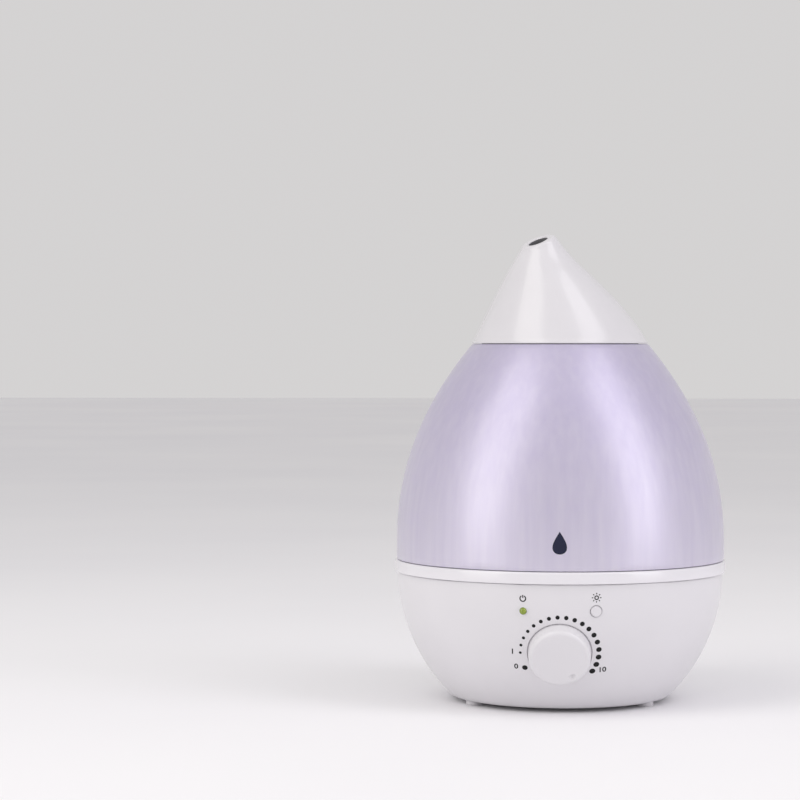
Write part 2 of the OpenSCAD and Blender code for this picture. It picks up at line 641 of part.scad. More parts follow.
module valve_cage() color(white) at_cap(cap_top) difference() {
    cylinder(r = 11, h = cage_top - cap_top + 1.5);
    translate([0, 0, -1]) cylinder(r = 9.5, h = cage_top - cap_top + 1);
    translate([0, 0, -1]) cylinder(r = stem_r + run_gap, h = 30, $fn = 48);
    for (i = [0:2]) rotate([0, 0, 120 * i]) translate([0, -5.5, -1]) cube([20, 11, 10]);
    for (i = [0:5]) at_turn(60 * i, 6.5) cylinder(r = 1.6, h = 30, $fn = 32);
}
module valve_plunger() color(white) at_cap() union() {
    translate([0, 0, stem_end]) cylinder(r = stem_r, h = cage_top + 3.5 - stem_end, $fn = 48);
    translate([0, 0, flange_z]) cylinder(r = 7, h = 1.5);
}
module valve_seal() color(dark) at_cap(seal_z) tube(8, stem_r, seal_t);

spring_r = 4;
spring_wire = 0.55;
spring_turns = 4;
spring_rings = 64;
spring_sides = 6;
spring_z0 = flange_z + 1.5 + spring_wire + 0.05;
spring_z1 = cage_top - 1 - spring_wire;
function coil_angle(i) = 360 * spring_turns * i / spring_rings;
function coil_point(i, j) =
    let (a = coil_angle(i), b = 360 * j / spring_sides, r = spring_r + spring_wire * cos(b))
    [r * cos(a), r * sin(a), spring_z0 + (spring_z1 - spring_z0) * i / spring_rings + spring_wire * sin(b)];
module valve_spring() color(steel) at_cap() polyhedron(
    points = [for (i = [0:spring_rings], j = [0:spring_sides - 1]) coil_point(i, j)],
    faces = concat(
        [[for (j = [0:spring_sides - 1]) j]],
        [for (i = [0:spring_rings - 1], j = [0:spring_sides - 1])
            let (a = i * spring_sides, k = (j + 1) % spring_sides)
            [a + j, a + spring_sides + j, a + spring_sides + k, a + k]],
        [[for (j = [spring_sides - 1:-1:0]) spring_rings * spring_sides + j]]
    )
);

// ---------- Lid ----------

spigot_r = chimney_r - 0.4;
module mist_guide() color(white) rotate_extrude() polygon([
    [spigot_r - 1.8, top_plate - 8], [spigot_r, top_plate - 8], [spigot_r, top_plate + run_gap],
    [guide_r, top_plate + run_gap], [guide_r, guide_top], [collar_r, guide_top],
    [collar_r, guide_top + collar_h],
    [collar_r - 2, guide_top + collar_h], [collar_r - 2, guide_top], [spigot_r + 2, guide_top],
    [spigot_r, guide_top + 12], [spigot_r - 1.8, guide_top + 12]
]);

// Frame of the nozzle's mouth: +Z points out along the mist
module at_mouth()
    at_turn(nozzle_turn, nozzle_offset, nozzle_z) rotate([0, nozzle_tilt, 0]) children();
lip_round = 3;
spout_wall = 2;
lid_steps = 4;
function lid_radius(u) = top_r - (top_r - tip_r) * ((1 - lid_curve) * u + lid_curve * u * u);
function lid_lean(u) = nozzle_offset * pow(u * tip_h / lid_h, lean_power);
// Level disc of the lid at the share u of the way up to its tip, set in by t
module lid_disc(u, t, drop = 0) rotate([0, 0, nozzle_turn])
    translate([lid_lean(u), 0, lid_z + tip_h * u - drop]) cylinder(r = lid_radius(u) - t, h = 0.05);
// Solid shape of the lid with its walls set in by t and its lower face lowered by drop
module lid_form(t, drop = 0) union() {
    for (i = [0:lid_steps - 1]) hull() {
        lid_disc(i / lid_steps, t, i == 0 ? drop : 0);
        lid_disc((i + 1) / lid_steps, t);
    }
    hull() {
        lid_disc(1, t);
        at_mouth() translate([0, 0, -lip_round - t])
            rotate_extrude($fn = 48) translate([lip_r - lip_round - t, 0]) circle(r = lip_round, $fn = 32);
    }
}
module mist_lid() color(white) difference() {
    union() {
        difference() {
            lid_form(0);
            difference() {
                lid_form(lid_wall, 1);
                at_mouth() translate([0, 0, -lip_round - 4]) cylinder(r = nozzle_r + spout_wall, h = 30);
            }
        }
        // collar that the lid turns on, round the mist guide's ring
        intersection() {
            translate([0, 0, guide_top + run_gap]) tube(collar_r + run_gap + 2, collar_r + run_gap, 20);
            lid_form(lid_wall / 2);
        }
    }
    at_mouth() translate([0, 0, -30]) cylinder(r = nozzle_r, h = 60);
}

base_shell();
bottom_cover();
rubber_feet();
cover_screws();
water_basin();
transducer_seal();
transducer_disc();
transducer_holder();
holder_screws();
duct_hood();
air_duct();
fan_frame();
fan_rotor();
fan_screws();
float();
float_clip();
level_sensor();
light_window();
light_board();
power_board();
power_transformer();
power_capacitors();
driver_board();
heat_sink();
driver_coil();
control_board();
potentiometer();
pot_nut();
knob_shaft();
knob();
power_light();
lamp_board();
light_button();
switch_stem();
button_switch();
button_board();
cord_gland();
tank_shell();
tank_floor();
mist_chimney();
fill_cap();
cap_gasket();
valve_cage();
valve_plunger();
valve_seal();
valve_spring();
mist_guide();
mist_lid();
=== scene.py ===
import json
import math

import bpy
from mathutils import Matrix, Vector


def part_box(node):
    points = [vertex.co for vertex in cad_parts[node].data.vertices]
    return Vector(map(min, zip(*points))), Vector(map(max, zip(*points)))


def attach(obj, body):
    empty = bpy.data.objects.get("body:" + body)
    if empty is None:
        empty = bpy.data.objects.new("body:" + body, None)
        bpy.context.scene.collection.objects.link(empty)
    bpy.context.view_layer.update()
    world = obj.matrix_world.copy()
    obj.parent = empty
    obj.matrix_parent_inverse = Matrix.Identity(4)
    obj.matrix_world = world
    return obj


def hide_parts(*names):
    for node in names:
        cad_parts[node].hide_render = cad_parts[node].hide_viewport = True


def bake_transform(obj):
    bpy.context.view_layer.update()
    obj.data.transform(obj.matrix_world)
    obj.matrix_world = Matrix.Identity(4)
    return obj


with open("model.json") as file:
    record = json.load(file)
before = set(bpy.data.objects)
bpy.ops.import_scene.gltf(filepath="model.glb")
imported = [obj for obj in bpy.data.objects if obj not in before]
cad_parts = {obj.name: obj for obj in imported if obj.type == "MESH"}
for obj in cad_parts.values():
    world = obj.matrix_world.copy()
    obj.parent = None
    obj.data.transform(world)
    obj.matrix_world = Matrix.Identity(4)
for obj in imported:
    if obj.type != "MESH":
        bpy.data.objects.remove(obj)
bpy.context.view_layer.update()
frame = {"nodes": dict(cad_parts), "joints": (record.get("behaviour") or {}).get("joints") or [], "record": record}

MM = 0.001
SIDES = 192           # sides of the large turned pieces
SMALL = 64            # sides of the small ones
AXIS = 0.01           # radius that stands for a point on the axis until doubles are merged
WELD = 0.03           # distance at which doubles are merged
UP = Vector((0, 0, 1))

record = frame["record"]
nodes = frame["nodes"]
joints = {joint["name"]: joint for joint in frame["joints"]}
slot_of = {part["node"]: part["material_slot"] for part in record["subparts"]}


def span(node):
    """Lowest and highest corner of a CAD node, in mm."""
    low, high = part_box(node)
    return low / MM, high / MM


def centre_of(node):
    """Middle of a CAD node seen from above, in mm."""
    low, high = span(node)
    return (low.x + high.x) / 2, (low.y + high.y) / 2


# ---------- Places and sizes from the frame ----------

rim_high = span("water_basin")[1]
tank_low, tank_high = span("tank_shell")
gland_low, gland_high = span("cord_gland")
guide_z = span("mist_guide")[0].z
cover_r = span("bottom_cover")[1].x
foot_h = span("rubber_feet")[1].z

# base
rim_r, rim_top = rim_high.x, rim_high.z
seam_z = rim_top - 8                      # groove between the shell and the rim ring
shell_r = rim_r - 1.8
bowl_z = seam_z + 2                       # level at which the bowl's curve is upright
bottom_r = 75.5                           # where that curve meets the flat underside
bowl_b = (bowl_z - foot_h) / math.sqrt(1 - (bottom_r / shell_r) ** 2)     # upright half-axis of the curve
base_wall = 2.5
inner_drop = 1.1                          # share of the wall by which the inner curve's half-axis is shorter
cover_top = foot_h + 3                    # top of the bottom cover's plate
shelf_top = foot_h + 5.5                  # top of the ledge that the cover is screwed to
boss_at = 39.6                            # distance of the cover's screw bosses from both axes
button_x = 24                             # distance of the button and the lamp from the middle
gland_flange = 2.4                        # how far the grommet stands out of the cord recess's floor

# tank
tank_r, tank_z, tank_top = tank_high.x, tank_low.z, tank_high.z
top_r = 61.3                              # tank's top edge, where the lid begins
tank_wall = 2.4
widest_z = tank_z + 10
side_power = 2.2                          # how late the tank's side curve bends in
chimney_r = 18.2

# lid
lid_z = tank_top + 0.4
lid_wall = 2.2
tip_h = 53                                # height at which the lid's tilted tip begins
tip_r = 24.8
lean_power = 1.65                         # how late the cone leans over
nozzle_out = 20                           # sideways distance of the nozzle's mouth
nozzle_up = 71.2                          # height of the mouth over the lid's edge
nozzle_z = lid_z + nozzle_up
nozzle_tilt = 26                          # lean of the mouth from upright, in degrees
nozzle_turn = 219                         # direction that the mouth faces, in degrees from +X


def bowl_radius(z, wall=0.0):
    """Radius of the bowl's outside at a height, or of its inside when it is given the wall."""
    return (shell_r - wall) * math.sqrt(1 - ((bowl_z - z) / (bowl_b - inner_drop * wall)) ** 2)


def tank_radius(z):
    """Radius of the tank's outside at a height."""
    share = max(0.0, z - widest_z) / (tank_top - widest_z)
    return tank_r - (tank_r - top_r) * share ** side_power


def facing(point, out):
    """Frame at a point in mm whose Z runs along out, with X level and Y upwards, as a matrix in metres."""
    z = Vector(out).normalized()
    x = UP.cross(z).normalized()
    axes = Matrix((x, z.cross(x), z)).transposed().to_4x4()
    return Matrix.Translation(Vector(point) * MM) @ axes


knob_joint, press_joint = joints["knob_turn"], joints["button_press"]
knob_frame = facing(Vector(knob_joint["pos_m"]) / MM, knob_joint["axis"])
button_out = -Vector(press_joint["axis"])
button_z = seam_z - 18
button_y = -math.sqrt(bowl_radius(button_z) ** 2 - button_x ** 2)
button_frame = facing((button_x, button_y, button_z), button_out)
lamp_frame = facing((-button_x, button_y, button_z), (-button_out.x, button_out.y, button_out.z))
cord_frame = facing((0, gland_high.y - gland_flange, (gland_low.z + gland_high.z) / 2), (0, 1, 0))


# ---------- Modelling by hand ----------

def pick(piece=None):
    """Leaves only this piece selected and active, or nothing."""
    if bpy.context.object and bpy.context.object.mode != "OBJECT":
        bpy.ops.object.mode_set(mode="OBJECT")
    bpy.ops.object.select_all(action="DESELECT")
    bpy.context.view_layer.objects.active = piece
    if piece:
        piece.select_set(True)


def bake_place(piece):
    """Moves the piece's place into its mesh."""
    pick(piece)
    bpy.ops.object.transform_apply(location=True, rotation=True, scale=True)
    return piece


def put(piece, matrix):
    piece.matrix_world = matrix
    return bake_place(piece)


def close_up(piece):
    """Merges doubled rings and poles, and points every face outwards."""
    pick(piece)
    bpy.ops.object.mode_set(mode="EDIT")
    bpy.ops.mesh.select_all(action="SELECT")
    bpy.ops.mesh.remove_doubles(threshold=WELD * MM)
    bpy.ops.mesh.normals_make_consistent(inside=False)
    bpy.ops.object.mode_set(mode="OBJECT")
    return piece


def loft(name, rings, sides=SIDES):
    """Skin pulled through rings of (x, z, radius, tilt in degrees), by extruding a circle from one to the next."""
    pick()
    x, z, r, tilt = rings[0]
    bpy.ops.mesh.primitive_circle_add(
        vertices=sides, radius=max(r, AXIS) * MM, location=(x * MM, 0, z * MM), rotation=(0, math.radians(tilt), 0))
    piece = bpy.context.object
    piece.name = piece.data.name = name
    bake_place(piece)
    bpy.ops.object.mode_set(mode="EDIT")
    bpy.ops.mesh.select_all(action="SELECT")
    for (xa, za, ra, ta), (xb, zb, rb, tb) in zip(rings, rings[1:]):
        bpy.ops.mesh.extrude_region_move(TRANSFORM_OT_translate={"value": ((xb - xa) * MM, 0, (zb - za) * MM)})
        centre = (xb * MM, 0, zb * MM)
        ratio = max(rb, AXIS) / max(ra, AXIS)
        if ratio != 1:
            bpy.ops.transform.resize(value=(ratio, ratio, ratio), center_override=centre)
        if tb != ta:
            # with no window the operator turns the other way
            bpy.ops.transform.rotate(value=math.radians(ta - tb), orient_axis="Y", center_override=centre)
    bpy.ops.object.mode_set(mode="OBJECT")
    return close_up(piece)


def turned(name, outline, sides=SIDES, closed=False):
    """Solid of revolution about Z of an outline of (radius, height) points."""
    rings = [(0, z, r, 0) for r, z in outline]
    return loft(name, rings + rings[:1] if closed else rings, sides)


def rounded(corners, steps=4):
    """Outline through (radius, height, set-back) corners, each rounded over its set-back."""
    points = []
    for i, (r, z, back) in enumerate(corners):
        here = Vector((r, z))
        if not back:
            points.append((r, z))
            continue
        start = here + (Vector(corners[i - 1][:2]) - here).normalized() * back
        end = here + (Vector(corners[(i + 1) % len(corners)][:2]) - here).normalized() * back
        for k in range(steps + 1):
            t = k / steps
            p = start * (1 - t) ** 2 + here * 2 * t * (1 - t) + end * t * t
            points.append((p.x, p.y))
    return points


def carve(piece, tool, operation="DIFFERENCE"):
    """Cuts the tool out of the piece, or joins it on, and uses the tool up."""
    pick(piece)
    cut = piece.modifiers.new("carve", "BOOLEAN")
    cut.operation, cut.solver, cut.object = operation, "EXACT", tool
    bpy.ops.object.modifier_apply(modifier=cut.name)
    bpy.data.objects.remove(tool)
    return piece


def copy_of(piece, name):
    """A copy with its own mesh."""
    twin = piece.copy()
    twin.data = piece.data.copy()
    twin.name = twin.data.name = name
    bpy.context.scene.collection.objects.link(twin)
    return twin


def joined(name, pieces):
    """Several meshes as one piece."""
    pick(pieces[0])
    for piece in pieces[1:]:
        piece.select_set(True)
    bpy.ops.object.join()
    pieces[0].name = pieces[0].data.name = name
    return pieces[0]


def settle(piece, body, slot, replaced=(), material=None, angle=32):
    """Last step of every piece: smoothing, material, body, and the CAD nodes that it stands for."""
    pick(piece)
    bpy.ops.object.shade_smooth_by_angle(angle=math.radians(angle))
    piece.data.materials.clear()
    piece.data.materials.append(material or materials[slot])
    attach(piece, body)
    if replaced:
        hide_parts(*replaced)
    return piece


# ---------- Materials ----------

def shade(text):
    """An sRGB hex value as the linear colour that shaders take."""
    parts = [int(text[i:i + 2], 16) / 255 for i in (1, 3, 5)]
    return (*[c / 12.92 if c <= 0.04045 else ((c + 0.055) / 1.055) ** 2.4 for c in parts], 1)


def add_node(material, kind, inputs=None, **settings):
    """Adds a node, sets it up, and links or sets its inputs."""
    node = material.node_tree.nodes.new(kind)
    for key, value in settings.items():
        setattr(node, key, value)
    for key, value in (inputs or {}).items():
        if isinstance(value, bpy.types.NodeSocket):
            material.node_tree.links.new(value, node.inputs[key])
        else:
            node.inputs[key].default_value = value
    return node


def clouded(clouds, grain):
    """Pattern of soft clouds for the colour and an even grain for the relief, both in mm."""
    def pattern(material, place):
        drift = add_node(material, "ShaderNodeTexNoise", {"Vector": place, "Scale": 1 / clouds, "Detail": 3})
        fine = add_node(material, "ShaderNodeTexNoise", {"Vector": place, "Scale": 1 / grain, "Detail": 2})
        return drift.outputs["Fac"], fine.outputs["Fac"]
    return pattern


def finish(name, colours, gloss, depth, pattern, stops=(0.32, 0.68), wear=18, **even):
    """Material whose colour drifts between two hex values and whose surface has a relief of depth mm, both from
    the pattern; its roughness drifts between the two gloss values over wear mm. What is even is set as it is."""
    material = bpy.data.materials.new(name)
    material.use_nodes = True
    surface = material.node_tree.nodes["Principled BSDF"]
    place = add_node(material, "ShaderNodeTexCoord").outputs["Object"]
    mapped = add_node(material, "ShaderNodeMapping", {"Vector": place, "Scale": (1 / MM, 1 / MM, 1 / MM)})
    in_mm = mapped.outputs["Vector"]
    tone, height = pattern(material, in_mm)
    ramp = add_node(material, "ShaderNodeValToRGB", {"Fac": tone})
    for element, stop, colour in zip(ramp.color_ramp.elements, stops, colours):
        element.position, element.color = stop, shade(colour)
    worn = add_node(material, "ShaderNodeTexNoise", {"Vector": in_mm, "Scale": 1 / wear, "Detail": 2})
    rough = add_node(material, "ShaderNodeMapRange", {
        "Value": worn.outputs["Fac"], "From Min": 0.3, "From Max": 0.7, "To Min": gloss[0], "To Max": gloss[1]})
    bump = add_node(material, "ShaderNodeBump", {"Height": height, "Distance": depth * MM})
    for key, socket in (("Base Color", ramp.outputs["Color"]), ("Roughness", rough.outputs["Result"]),
                        ("Normal", bump.outputs["Normal"])):
        material.node_tree.links.new(socket, surface.inputs[key])
    for key, value in even.items():
        surface.inputs[key.replace("_", " ")].default_value = value
    return material


def satin_white_abs():
    # Moulded ABS from a polished tool: soft wide highlights, a cool white and barely any grain.
    return finish("satin_white_moulded_abs", ("#dad8dc", "#dcdade"), (0.275, 0.29), 0.0008, clouded(40, 0.6),
                  IOR=1.53, Coat_Weight=0.25, Coat_Roughness=0.12)


def glossy_white_abs():
    # The rim ring and basin come from a brighter tool, so their highlights are tighter.
    return finish("glossy_white_moulded_abs", ("#e0dee3", "#e2e0e5"), (0.18, 0.195), 0.0006, clouded(40, 0.6),
                  IOR=1.53, Coat_Weight=0.35, Coat_Roughness=0.06)


def glossy_lid_abs():
    # Glossy ABS with the slow waviness that a thin wall gets as it shrinks, about 26 mm from crest to crest.
    return finish("glossy_lid_moulded_abs", ("#d3d1d5", "#d6d4d8"), (0.22, 0.24), 0.03, clouded(40, 26),
                  wear=24, IOR=1.53, Coat_Weight=0.3, Coat_Roughness=0.08)


def bore_painted_shade_abs():
    # Unpolished ABS of the nozzle's bore, coloured grey as painted shade so that the mouth shows as a dark opening.
    return finish("bore_painted_shade_abs", ("#5d5c61", "#6d6c70"), (0.55, 0.7), 0.02, clouded(6, 0.7), wear=5, IOR=1.5)


def pearly_polycarbonate():
    # Blow-moulded polycarbonate with a pearl pigment, frosted inside: milky lavender that lets light through,
    # with a clear outer skin. The blowing draws the pearl into upright streaks about 5 mm wide and 80 mm long.
    # The colour also pales towards the tank's foot as a painted glow of light, though the wall is as thick there as
    # it is higher up.
    def pattern(material, place):
        drawn = add_node(material, "ShaderNodeMapping", {"Vector": place, "Scale": (1, 1, 0.06)})
        streaks = add_node(material, "ShaderNodeTexNoise",
                           {"Vector": drawn.outputs["Vector"], "Scale": 1 / 5, "Detail": 3})
        flakes = add_node(material, "ShaderNodeTexNoise", {"Vector": place, "Scale": 1 / 0.6, "Detail": 2})
        height = add_node(material, "ShaderNodeSeparateXYZ", {"Vector": place}).outputs["Z"]
        # Painted glow: the colour turns paler towards the tank's foot.
        pale = add_node(material, "ShaderNodeMapRange", {
            "Value": height, "From Min": tank_top - 40, "From Max": tank_z, "To Min": 0.0, "To Max": 1.0})
        tone = add_node(material, "ShaderNodeMix", {
            "Factor": 0.5, "A": streaks.outputs["Fac"], "B": pale.outputs["Result"]}, data_type="FLOAT")
        return tone.outputs["Result"], flakes.outputs["Fac"]

    return finish("pearly_lavender_polycarbonate", ("#cec6e3", "#e2dcf0"), (0.38, 0.43), 0.002, pattern,
                  (0.2, 0.8), 8, IOR=1.58, Metallic=0.3, Transmission_Weight=0.3, Subsurface_Weight=0.25,
                  Subsurface_Radius=(0.012, 0.011, 0.016), Subsurface_Scale=0.6,
                  Coat_Weight=0.55, Coat_Roughness=0.2, Sheen_Weight=0.08, Sheen_Roughness=0.4)


def matte_polypropylene():
    # Polypropylene: slightly waxy and warmer than the ABS, with a spark-eroded matte face.
    return finish("matte_moulded_polypropylene", ("#dbd9da", "#dfdddd"), (0.42, 0.52), 0.02, clouded(20, 0.8),
                  IOR=1.49, Subsurface_Weight=0.15, Subsurface_Radius=(0.004, 0.004, 0.003))


def grained_cover_abs():
    # The underside is spark-eroded, which gives a sandy matte grain.
    return finish("grained_cover_abs", ("#d0ced3", "#d5d3d7"), (0.46, 0.6), 0.05, clouded(20, 0.6), wear=6,
                  IOR=1.53)


def cap_polypropylene():
    # Fill cap and valve: ribbed polypropylene, waxy and a little see-through at thin edges.
    return finish("white_cap_polypropylene", ("#dfdde0", "#e4e2e5"), (0.34, 0.44), 0.015, clouded(12, 0.9),
                  wear=5, IOR=1.49, Subsurface_Weight=0.2, Subsurface_Radius=(0.003, 0.003, 0.003))


def pale_foot_rubber():
    # Thermoplastic rubber: dull, dusty and finely pitted.
    return finish("pale_moulded_rubber", ("#c9c7cb", "#d4d2d6"), (0.68, 0.82), 0.04, clouded(4, 0.5), wear=3,
                  IOR=1.5, Sheen_Weight=0.15)


def black_silicone():
    # Silicone seals: near black with a faint dusty bloom.
    return finish("black_silicone", ("#151517", "#1e1e21"), (0.5, 0.64), 0.02, clouded(4, 0.6), wear=3,
                  IOR=1.42, Sheen_Weight=0.1)


def zinc_screws():
    # Zinc plating: pale, faintly blue, satin, with crystals about half a millimetre wide.
    return finish("zinc_plated_steel", ("#b9bcc2", "#cdd0d3"), (0.26, 0.4), 0.004, clouded(2, 0.5), wear=2,
                  Metallic=1.0)


def spring_wire():
    # Drawn stainless wire: bright with fine die lines.
    return finish("drawn_stainless_wire", ("#b4b5b6", "#cacbcc"), (0.16, 0.28), 0.003, clouded(1, 0.3), wear=1,
                  Metallic=1.0)


def piezo_disc():
    # Nickel-silver electrode fired onto the ceramic disc.
    return finish("plated_piezo_ceramic", ("#c8c3b6", "#d6d2c6"), (0.18, 0.3), 0.004, clouded(5, 1.2), wear=4,
                  Metallic=1.0)


def die_cast():
    # Die-cast aluminium: grey, grainy and dull.
    return finish("die_cast_aluminium", ("#a6a8aa", "#bcbec0"), (0.38, 0.55), 0.02, clouded(5, 0.9), wear=4,
                  Metallic=1.0)


def plated_steel():
    # Nickel-plated case and shaft of the potentiometer.
    return finish("nickel_plated_steel", ("#adaeaf", "#c2c2c1"), (0.22, 0.36), 0.004, clouded(4, 0.7), wear=3,
                  Metallic=1.0)


def grey_duct():
    # Reground plastic of the air duct: plain grey, matte, with faint swirls.
    return finish("grey_reground_plastic", ("#b2b2b6", "#bdbdc0"), (0.5, 0.62), 0.03, clouded(9, 0.7), wear=8,
                  IOR=1.5)


def black_fan():
    # Glass-filled plastic: dark with a dull fibre grain.
    return finish("black_glass_filled_plastic", ("#17171a", "#222225"), (0.42, 0.56), 0.03, clouded(3, 0.4),
                  wear=4, IOR=1.52)


def float_foam():
    # Closed-cell foam: warm white with skinned cells about a millimetre wide.
    def pattern(material, place):
        cells = add_node(material, "ShaderNodeTexVoronoi", {"Vector": place, "Scale": 1 / 1.1}).outputs["Distance"]
        return cells, cells

    return finish("closed_cell_foam", ("#dcd8cd", "#ebe8e0"), (0.58, 0.66), 0.08, pattern, wear=5, IOR=1.45)


def black_plastic():
    # Small black mouldings and the cord's grommet.
    return finish("black_moulded_plastic", ("#1a1a1c", "#26262a"), (0.36, 0.5), 0.015, clouded(4, 0.5), wear=3,
                  IOR=1.5)


def clear_window():
    # Clear moulded acrylic over the night light, faintly cloudy where it was gated.
    return finish("clear_moulded_acrylic", ("#eef1fb", "#f6f8ff"), (0.04, 0.1), 0.002, clouded(5, 2), wear=3,
                  Transmission_Weight=0.9, IOR=1.49)


def green_board():
    # Solder mask over copper: green and satin, with raised tracks about a third of a millimetre wide.
    def pattern(material, place):
        tracks = add_node(material, "ShaderNodeTexBrick",
                          {"Vector": place, "Scale": 0.16, "Mortar Size": 0.05}).outputs["Fac"]
        return tracks, tracks

    return finish("solder_masked_circuit_board", ("#216f3e", "#3f9256"), (0.3, 0.42), 0.05, pattern, wear=4,
                  IOR=1.5)


def wound_tape():
    # Yellow polyester tape over the windings, in laps 8 mm wide.
    def pattern(material, place):
        laps = add_node(material, "ShaderNodeTexWave", {"Vector": place, "Scale": 0.12, "Distortion": 0.4},
                        bands_direction="Z").outputs["Fac"]
        return laps, laps

    return finish("yellow_polyester_tape", ("#bfa02f", "#d3b548"), (0.34, 0.42), 0.1, pattern, wear=5, IOR=1.5)


def blue_sleeve():
    # Shrunk vinyl sleeve of an electrolytic capacitor.
    return finish("blue_shrunk_vinyl", ("#1d2a49", "#26365c"), (0.2, 0.32), 0.01, clouded(6, 1), wear=3,
                  IOR=1.52, Coat_Weight=0.3)


def enamelled_copper():
    # Enamelled copper wire in turns under a millimetre apart.
    def pattern(material, place):
        turns = add_node(material, "ShaderNodeTexWave", {"Vector": place, "Scale": 0.35},
                         bands_direction="Z").outputs["Fac"]
        return turns, turns

    return finish("enamelled_copper_wire", ("#8e4a22", "#c07a48"), (0.26, 0.34), 0.25, pattern, wear=3,
                  Metallic=1.0)


def green_lens():
    # Tinted epoxy dome of the power lamp: olive green, glossy and slightly lit from inside.
    return finish("tinted_epoxy_lens", ("#74870f", "#899b20"), (0.08, 0.14), 0.002, clouded(2, 1), wear=2,
                  Transmission_Weight=0.08, IOR=1.54, Coat_Weight=0.8, Coat_Roughness=0.04,
                  Emission_Color=shade("#8ea62a"), Emission_Strength=0.04)


def panel_black():
    # Screen-printed ink: satin, with the slightly ragged density that the mesh leaves.
    return finish("black_screen_ink", ("#060607", "#0e0e10"), (0.42, 0.55), 0.01, clouded(0.4, 0.35), wear=1,
                  IOR=1.5, Specular_IOR_Level=0.3)


def mark_navy():
    # The same ink in navy for the mark on the tank.
    return finish("navy_screen_ink", ("#14162e", "#1c203c"), (0.42, 0.55), 0.01, clouded(0.4, 0.35), wear=1,
                  IOR=1.5, Specular_IOR_Level=0.3)


makers = {
    "white_abs": satin_white_abs, "rim_abs": glossy_white_abs, "lid_abs": glossy_lid_abs,
    "tank_pc": pearly_polycarbonate, "guide_pp": matte_polypropylene, "cover_abs": grained_cover_abs,
    "cap_pp": cap_polypropylene, "foot_rubber": pale_foot_rubber, "seal_rubber": black_silicone,
    "screw_steel": zinc_screws, "spring_steel": spring_wire, "disc_metal": piezo_disc, "holder_metal": die_cast,
    "pot_metal": plated_steel, "duct_plastic": grey_duct, "fan_plastic": black_fan, "float_foam": float_foam,
    "black_plastic": black_plastic, "window_plastic": clear_window, "circuit_board": green_board,
    "transformer_tape": wound_tape, "capacitor_sleeve": blue_sleeve, "copper_wire": enamelled_copper,
    "lamp_lens": green_lens, "lid_bore_painted_shade": bore_painted_shade_abs, "panel_ink": panel_black, "mark_ink": mark_navy,
}
materials = {slot: make() for slot, make in makers.items()}

for node, piece in nodes.items():
    for holder in piece.material_slots:
        holder.material = materials[slot_of[node]]


# ---------- Camera, light and floor ----------

def studio():
    scene = bpy.context.scene
    scene.view_settings.view_transform = "Standard"
    camera = bpy.data.objects.new("camera", bpy.data.cameras.new("camera"))
    camera.data.sensor_width, camera.data.lens = 36, 116.87
    camera.location = (0, -1.818, 0.2478)
    camera.rotation_euler = (math.radians(88.765), 0, math.radians(3.525))
    scene.collection.objects.link(camera)
    scene.camera = camera

    world = bpy.data.worlds.new("white_room")
    world.use_nodes = True
    sky = world.node_tree.nodes["Background"]
    sky.inputs["Color"].default_value = shade("#fffdfd")
    sky.inputs["Strength"].default_value = 0.66
    scene.world = world

    def softbox(name, turn, distance, height, width, tall, power, colour):
        """Upright soft light at that turn from the front, aimed at the middle of the tank."""
        light = bpy.data.objects.new(name, bpy.data.lights.new(name, "AREA"))
        light.data.shape, light.data.size, light.data.size_y = "RECTANGLE", width, tall
        light.data.energy, light.data.color = power, shade(colour)[:3]
        a = math.radians(turn)
        light.location = (distance * math.sin(a), -distance * math.cos(a), height)
        aim = Vector((0, 0, 0.17)) - light.location
        light.rotation_euler = aim.to_track_quat("-Z", "Y").to_euler()
        scene.collection.objects.link(light)

    softbox("left_softbox", -54, 1.5, 1.0, 1.0, 2.6, 14, "#fffdf8")
    softbox("right_softbox", 60, 1.5, 1.0, 0.85, 2.6, 13, "#fdfbff")
    softbox("top_softbox", 0, 0.35, 1.7, 1.3, 1.3, 1, "#ffffff")

    pick()
    bpy.ops.mesh.primitive_plane_add(size=14, location=(0, 3, 0))
    floor = bpy.context.object
    floor.name = "floor"
    bake_place(floor)
    # Matte paper sweep: near white with a very slow drift.
    material = finish("matte_paper_floor", ("#f1f0f3", "#f5f4f6"), (0.68, 0.72), 0.01, clouded(700, 1.5), wear=60,
                      Specular_IOR_Level=0.25)
    floor.data.materials.append(material)


studio()


# ---------- Base ----------

def panel_tool(outline, matrix):
    """Cutter or filler turned about the normal of a frame on the panel."""
    return put(turned("tool", outline, SMALL), matrix)


